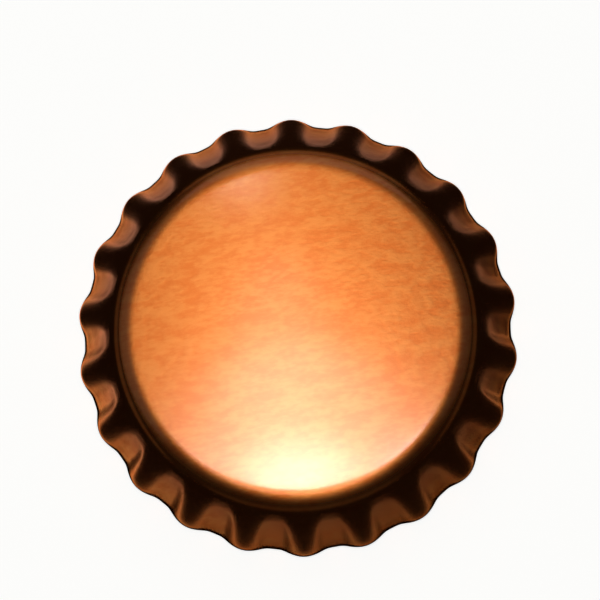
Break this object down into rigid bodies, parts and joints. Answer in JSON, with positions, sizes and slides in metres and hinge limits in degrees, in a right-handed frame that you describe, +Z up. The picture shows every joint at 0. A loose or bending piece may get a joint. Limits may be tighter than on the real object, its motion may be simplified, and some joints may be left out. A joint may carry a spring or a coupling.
{
  "type": "bottle cap",
  "caption": "Crown bottle cap: a round panel with a flared, fluted skirt pressed from copper-lacquered sheet, and a beaded sealing liner inside that closes the bottle's mouth.",
  "frame": {"origin": "centre of the plane that the lip of the skirt rests on", "axes": "+Z points up through the panel, along the cap's axis; two opposite crests of the skirt lie on the Y axis"},
  "size_m": [0.0318, 0.032, 0.006],
  "materials": {
    "shell": "clear copper-toned lacquer over bright rolled tinplate",
    "liner": "satin, as moulded, off-white"
  },
  "bodies": {
    "root": {"shell": "shell", "liner": "liner"}
  },
  "joints": []
}
